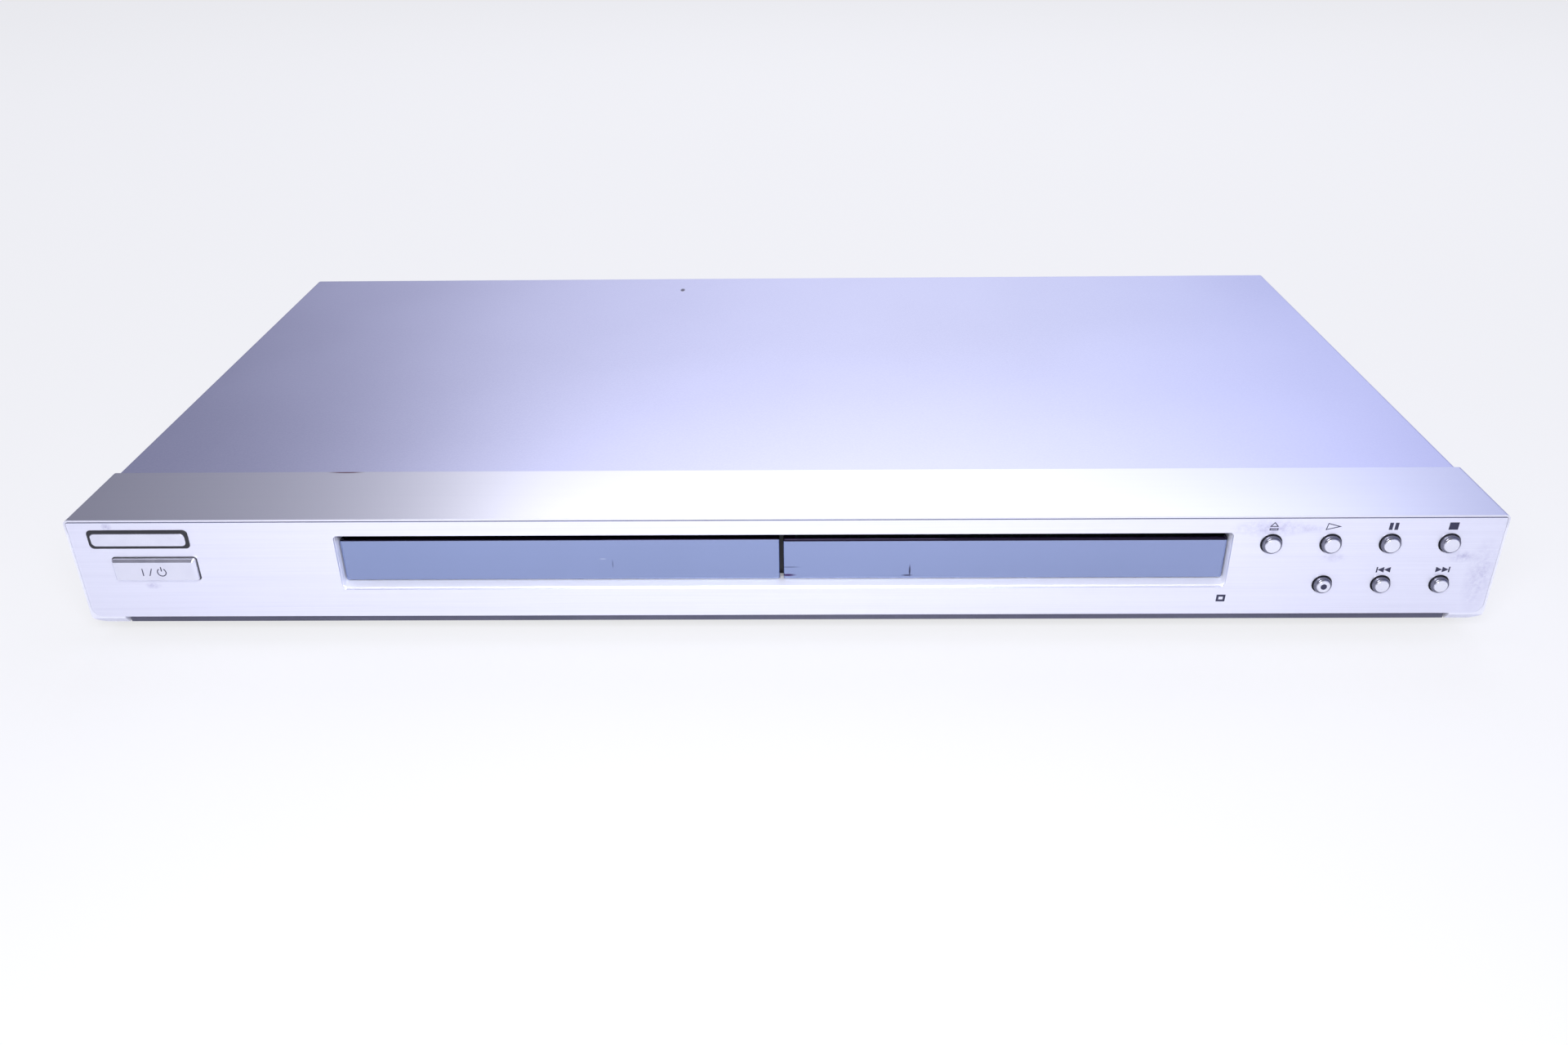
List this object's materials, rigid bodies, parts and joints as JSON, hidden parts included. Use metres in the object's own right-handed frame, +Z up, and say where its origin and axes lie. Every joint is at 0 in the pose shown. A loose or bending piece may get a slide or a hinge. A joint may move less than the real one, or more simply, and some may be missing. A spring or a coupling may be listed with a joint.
{
  "type": "disc player with tray",
  "caption": "Slim full-width disc player with a motor-driven disc tray, mirror display window, push buttons and the loading and reading mechanism inside.",
  "frame": {"origin": "middle of the footprint, at the height of the table", "axes": "+X to the right seen from the front, +Y from front to back, +Z up"},
  "size_m": [0.43, 0.238, 0.043],
  "materials": {
    "gear_plastic": "natural acetal",
    "button_silver": "satin silver paint",
    "socket_plastic": "ivory plastic",
    "chassis_steel": "zinc-plated steel sheet",
    "bridge_steel": "zinc-plated steel sheet",
    "loader_plastic": "moulded black plastic",
    "screw_steel": "zinc-plated",
    "black_plastic": "moulded black plastic",
    "display_glass": "dark glass",
    "mirror_pane": "half-mirror pane",
    "belt_rubber": "square rubber belt",
    "face_aluminium": "fine horizontal brushing",
    "foot_rubber": "matt rubber",
    "flat_cable_film": "white film",
    "circuit_board": "solder mask",
    "fascia_silver": "silver-painted plastic",
    "rod_steel": "ground steel",
    "contact_brass": "plated",
    "motor_steel": "plated can",
    "pulley_plastic": "natural acetal",
    "jack_colours": "moulded in one colour each",
    "contact_nickel": "plated",
    "pickup_metal": "die-cast",
    "lens_glass": "coated lens",
    "capacitor_sleeve": "shrink sleeve",
    "heat_sink_aluminium": "extruded",
    "transformer_tape": "yellow tape on ferrite",
    "rear_paint": "satin black paint",
    "cover_paint": "satin lavender-silver paint",
    "tray_plastic": "fine-textured dark plastic"
  },
  "bodies": {
    "case": {"cable_sockets": "socket_plastic", "chassis_base": "chassis_steel", "clamp_bridge": "bridge_steel", "cover_screws": "screw_steel", "display_frame": "black_plastic", "display_tube": "display_glass", "display_window": "mirror_pane", "drive_belt": "belt_rubber", "face_plate": "face_aluminium", "feet": "foot_rubber", "flat_cable": "flat_cable_film", "front_boards": "circuit_board", "front_fascia": "fascia_silver", "inlet_pins": "contact_brass", "inner_screws": "screw_steel", "loader_base": "loader_plastic", "loading_motor": "motor_steel", "main_board": "circuit_board", "main_chips": "black_plastic", "mains_inlet": "black_plastic", "phono_jack_block": "black_plastic", "phono_jack_inserts": "jack_colours", "phono_jack_shells": "contact_nickel", "power_board": "circuit_board", "power_capacitors": "capacitor_sleeve", "power_heat_sink": "heat_sink_aluminium", "power_transformer": "transformer_tape", "push_switches": "black_plastic", "rear_panel": "rear_paint", "remote_sensor": "black_plastic", "top_cover": "cover_paint", "video_socket": "black_plastic"},
    "tray": {"tray": "tray_plastic", "tray_door": "mirror_pane"},
    "drive_gear": {"drive_gear": "gear_plastic"},
    "belt_wheel": {"belt_wheel": "gear_plastic"},
    "motor_pulley": {"motor_pulley": "pulley_plastic"},
    "cam": {"cam_slider": "gear_plastic"},
    "lift": {"lift_frame": "loader_plastic", "rubber_dampers": "belt_rubber", "traverse_base": "bridge_steel", "guide_rods": "rod_steel", "spindle_motor": "motor_steel", "sled_motor": "motor_steel"},
    "turntable": {"turntable": "loader_plastic", "turntable_ring": "belt_rubber", "spindle_rotor": "motor_steel"},
    "clamper": {"clamper": "loader_plastic"},
    "pickup": {"pickup": "pickup_metal", "pickup_lens": "lens_glass"},
    "sled_gear": {"sled_gear": "gear_plastic"},
    "sled_pinion": {"sled_pinion": "contact_brass"},
    "power_button": {"power_button": "button_silver"},
    "button_eject": {"button_eject": "button_silver"},
    "button_play": {"button_play": "button_silver"},
    "button_pause": {"button_pause": "button_silver"},
    "button_stop": {"button_stop": "button_silver"},
    "button_scan": {"button_scan": "button_silver"},
    "button_previous": {"button_previous": "button_silver"},
    "button_next": {"button_next": "button_silver"}
  },
  "joints": [
    {"name": "tray_slide", "type": "slide", "parent": "case", "child": "tray", "axis": [0, -1, 0], "range_m": [0, 0.133]},
    {"name": "drive_gear_spin", "type": "hinge", "parent": "case", "child": "drive_gear", "pos_m": [-0.0215, -0.0917, 0.015], "axis": [0, 0, 1], "range_deg": [-1275, 0]},
    {"name": "belt_wheel_spin", "type": "hinge", "parent": "case", "child": "belt_wheel", "pos_m": [-0.0423, -0.0917, 0.015], "axis": [0, 0, 1], "range_deg": [0, 4250]},
    {"name": "motor_pulley_spin", "type": "hinge", "parent": "case", "child": "motor_pulley", "pos_m": [-0.0783, -0.0917, 0.015], "axis": [0, 0, 1], "range_deg": [0, 14900]},
    {"name": "lift_tilt", "type": "hinge", "parent": "case", "child": "lift", "pos_m": [-0.06765, 0.0548, 0.016], "axis": [1, 0, 0], "range_deg": [0, 3]},
    {"name": "cam_slide", "type": "slide", "parent": "case", "child": "cam", "axis": [1, 0, 0], "range_m": [0, 0.01201]},
    {"name": "turntable_spin", "type": "hinge", "parent": "lift", "child": "turntable", "pos_m": [-0.06765, -0.0452, 0.025], "axis": [0, 0, 1], "continuous": true},
    {"name": "clamper_spin", "type": "hinge", "parent": "case", "child": "clamper", "pos_m": [-0.06765, -0.0452, 0.035], "axis": [0, 0, 1], "continuous": true},
    {"name": "pickup_slide", "type": "slide", "parent": "lift", "child": "pickup", "axis": [0, 1, 0], "range_m": [0, 0.034]},
    {"name": "sled_gear_spin", "type": "hinge", "parent": "lift", "child": "sled_gear", "pos_m": [-0.03265, -0.0132, 0.021], "axis": [0, 0, 1], "range_deg": [-560, 0]},
    {"name": "sled_pinion_spin", "type": "hinge", "parent": "lift", "child": "sled_pinion", "pos_m": [-0.03265, -0.0027, 0.021], "axis": [0, 0, 1], "range_deg": [0, 1400]},
    {"name": "power_button_press", "type": "slide", "parent": "case", "child": "power_button", "axis": [0, 1, 0], "range_m": [0, 0.0006], "stiffness_N_per_m": 500, "springref_m": -0.001},
    {"name": "button_eject_press", "type": "slide", "parent": "case", "child": "button_eject", "axis": [0, 1, 0], "range_m": [0, 0.0006], "stiffness_N_per_m": 500, "springref_m": -0.001},
    {"name": "button_play_press", "type": "slide", "parent": "case", "child": "button_play", "axis": [0, 1, 0], "range_m": [0, 0.0006], "stiffness_N_per_m": 500, "springref_m": -0.001},
    {"name": "button_pause_press", "type": "slide", "parent": "case", "child": "button_pause", "axis": [0, 1, 0], "range_m": [0, 0.0006], "stiffness_N_per_m": 500, "springref_m": -0.001},
    {"name": "button_stop_press", "type": "slide", "parent": "case", "child": "button_stop", "axis": [0, 1, 0], "range_m": [0, 0.0006], "stiffness_N_per_m": 500, "springref_m": -0.001},
    {"name": "button_scan_press", "type": "slide", "parent": "case", "child": "button_scan", "axis": [0, 1, 0], "range_m": [0, 0.0006], "stiffness_N_per_m": 500, "springref_m": -0.001},
    {"name": "button_previous_press", "type": "slide", "parent": "case", "child": "button_previous", "axis": [0, 1, 0], "range_m": [0, 0.0006], "stiffness_N_per_m": 500, "springref_m": -0.001},
    {"name": "button_next_press", "type": "slide", "parent": "case", "child": "button_next", "axis": [0, 1, 0], "range_m": [0, 0.0006], "stiffness_N_per_m": 500, "springref_m": -0.001}
  ],
  "couplings": [
    {"joint": "drive_gear_spin", "follows": "tray_slide", "rad_per_m": -166.67},
    {"joint": "belt_wheel_spin", "follows": "tray_slide", "rad_per_m": 555.56},
    {"joint": "motor_pulley_spin", "follows": "tray_slide", "rad_per_m": 1944.4},
    {"joint": "cam_slide", "follows": "lift_tilt", "m_per_rad": 0.22918},
    {"joint": "clamper_spin", "follows": "turntable_spin", "ratio": 1},
    {"joint": "sled_gear_spin", "follows": "pickup_slide", "rad_per_m": -285.71},
    {"joint": "sled_pinion_spin", "follows": "pickup_slide", "rad_per_m": 714.29}
  ]
}
